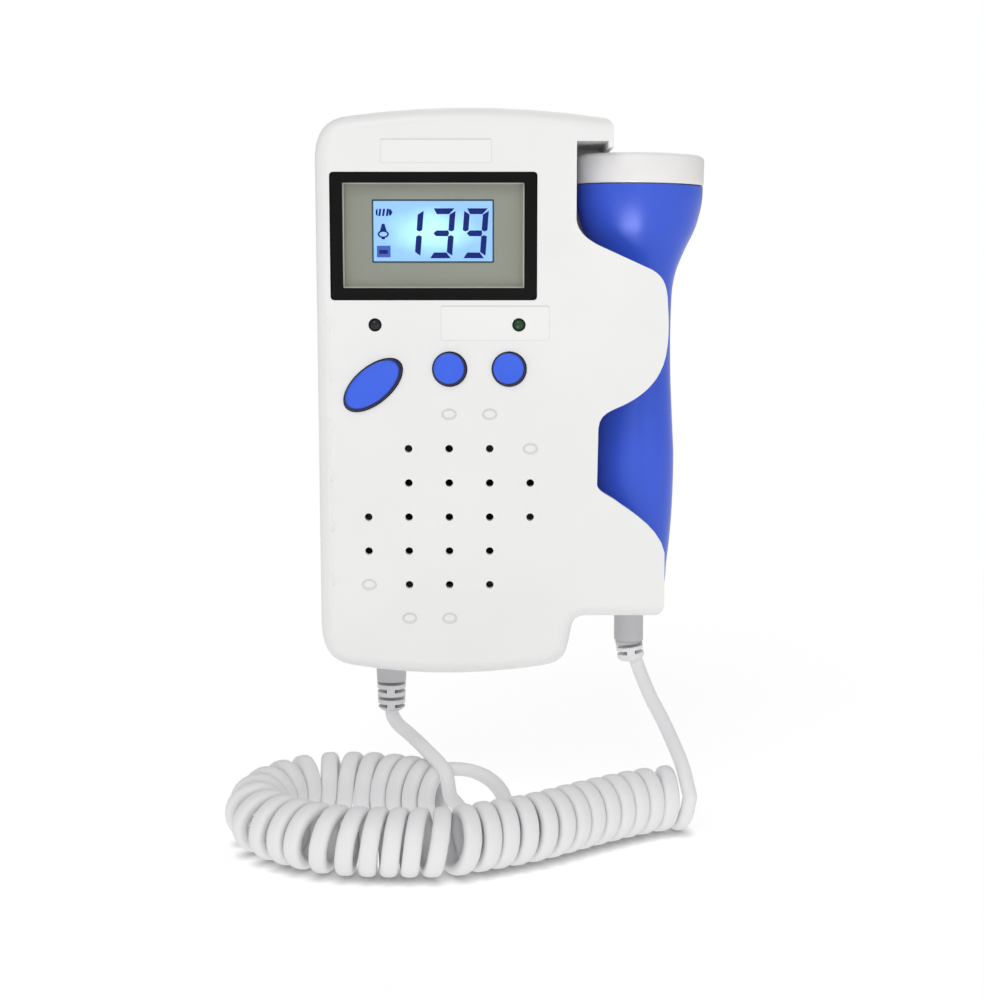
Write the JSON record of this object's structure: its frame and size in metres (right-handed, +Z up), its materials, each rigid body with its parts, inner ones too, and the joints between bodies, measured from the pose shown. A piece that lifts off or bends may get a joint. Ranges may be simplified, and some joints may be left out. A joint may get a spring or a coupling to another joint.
{
  "type": "fetal doppler monitor",
  "caption": "Handheld fetal heartbeat monitor with display, buttons and loudspeaker, and an ultrasound probe that rests in a side cradle on a curly cord.",
  "frame": {"origin": "centre of the unit's flat back face", "axes": "+Z up along the unit, -Y out of the face with the display and buttons, +X towards the probe"},
  "size_m": [0.1151, 0.0811, 0.1731],
  "materials": {
    "white_housing": "smooth moulded white plastic",
    "blue_plastic": "smooth moulded blue plastic",
    "probe_face": "pale smooth probe face",
    "black_bezel": "black smooth frame",
    "clear_window": "clear window",
    "lcd_glass": "grey display glass",
    "backlight": "pale blue light guide",
    "circuit_board": "green solder mask",
    "steel": "plated steel",
    "switch": "black plastic",
    "speaker_paper": "black paper",
    "foam": "soft dark foam",
    "cell_case": "plain printed sleeve, bare of text",
    "cord": "pale soft cord sheath",
    "relief": "pale soft moulding",
    "led_off": "dark tinted lens",
    "led_green": "green tinted lens",
    "ceramic": "sintered crystal"
  },
  "bodies": {
    "housing": {"front_shell": "white_housing", "rear_shell": "white_housing", "lcd_bezel": "black_bezel", "window_lens": "clear_window", "lcd_panel": "lcd_glass", "lcd_backlight": "backlight", "lcd_holder": "white_housing", "main_board": "circuit_board", "power_led": "led_off", "signal_led": "led_green", "power_switch": "switch", "volume_down_switch": "switch", "volume_up_switch": "switch", "speaker_gasket": "foam", "speaker_frame": "steel", "speaker_cone": "speaker_paper", "battery_cell_left": "cell_case", "battery_cell_right": "cell_case", "battery_bridge_contact": "steel", "battery_spring_left": "steel", "battery_spring_right": "steel", "case_screw_1": "steel", "case_screw_2": "steel", "case_screw_3": "steel", "case_screw_4": "steel", "board_screw_1": "steel", "board_screw_2": "steel", "board_screw_3": "steel", "board_screw_4": "steel", "unit_strain_relief": "relief", "cord_coil": "cord", "cord_probe_tail": "cord", "cord_unit_tail": "cord"},
    "power_button": {"power_button": "blue_plastic"},
    "volume_down_button": {"volume_down_button": "blue_plastic"},
    "volume_up_button": {"volume_up_button": "blue_plastic"},
    "battery_cover": {"battery_cover": "white_housing"},
    "probe": {"probe_shell_front": "blue_plastic", "probe_shell_rear": "blue_plastic", "probe_face_cap": "probe_face", "transducer_transmit": "ceramic", "transducer_receive": "ceramic", "transducer_backing": "foam", "probe_board": "circuit_board", "probe_strain_relief": "relief"}
  },
  "joints": [
    {"name": "power_button_press", "type": "slide", "parent": "housing", "child": "power_button", "axis": [0, 1, 0], "range_m": [0, 0.001], "stiffness_N_per_m": 800},
    {"name": "volume_down_press", "type": "slide", "parent": "housing", "child": "volume_down_button", "axis": [0, 1, 0], "range_m": [0, 0.001], "stiffness_N_per_m": 800},
    {"name": "volume_up_press", "type": "slide", "parent": "housing", "child": "volume_up_button", "axis": [0, 1, 0], "range_m": [0, 0.001], "stiffness_N_per_m": 800},
    {"name": "battery_cover_slide", "type": "slide", "parent": "housing", "child": "battery_cover", "axis": [0, 0, -1], "range_m": [0, 0.034]},
    {"name": "probe_slide", "type": "slide", "parent": "housing", "child": "probe", "axis": [1, 0, 0], "range_m": [0, 0.032]}
  ]
}
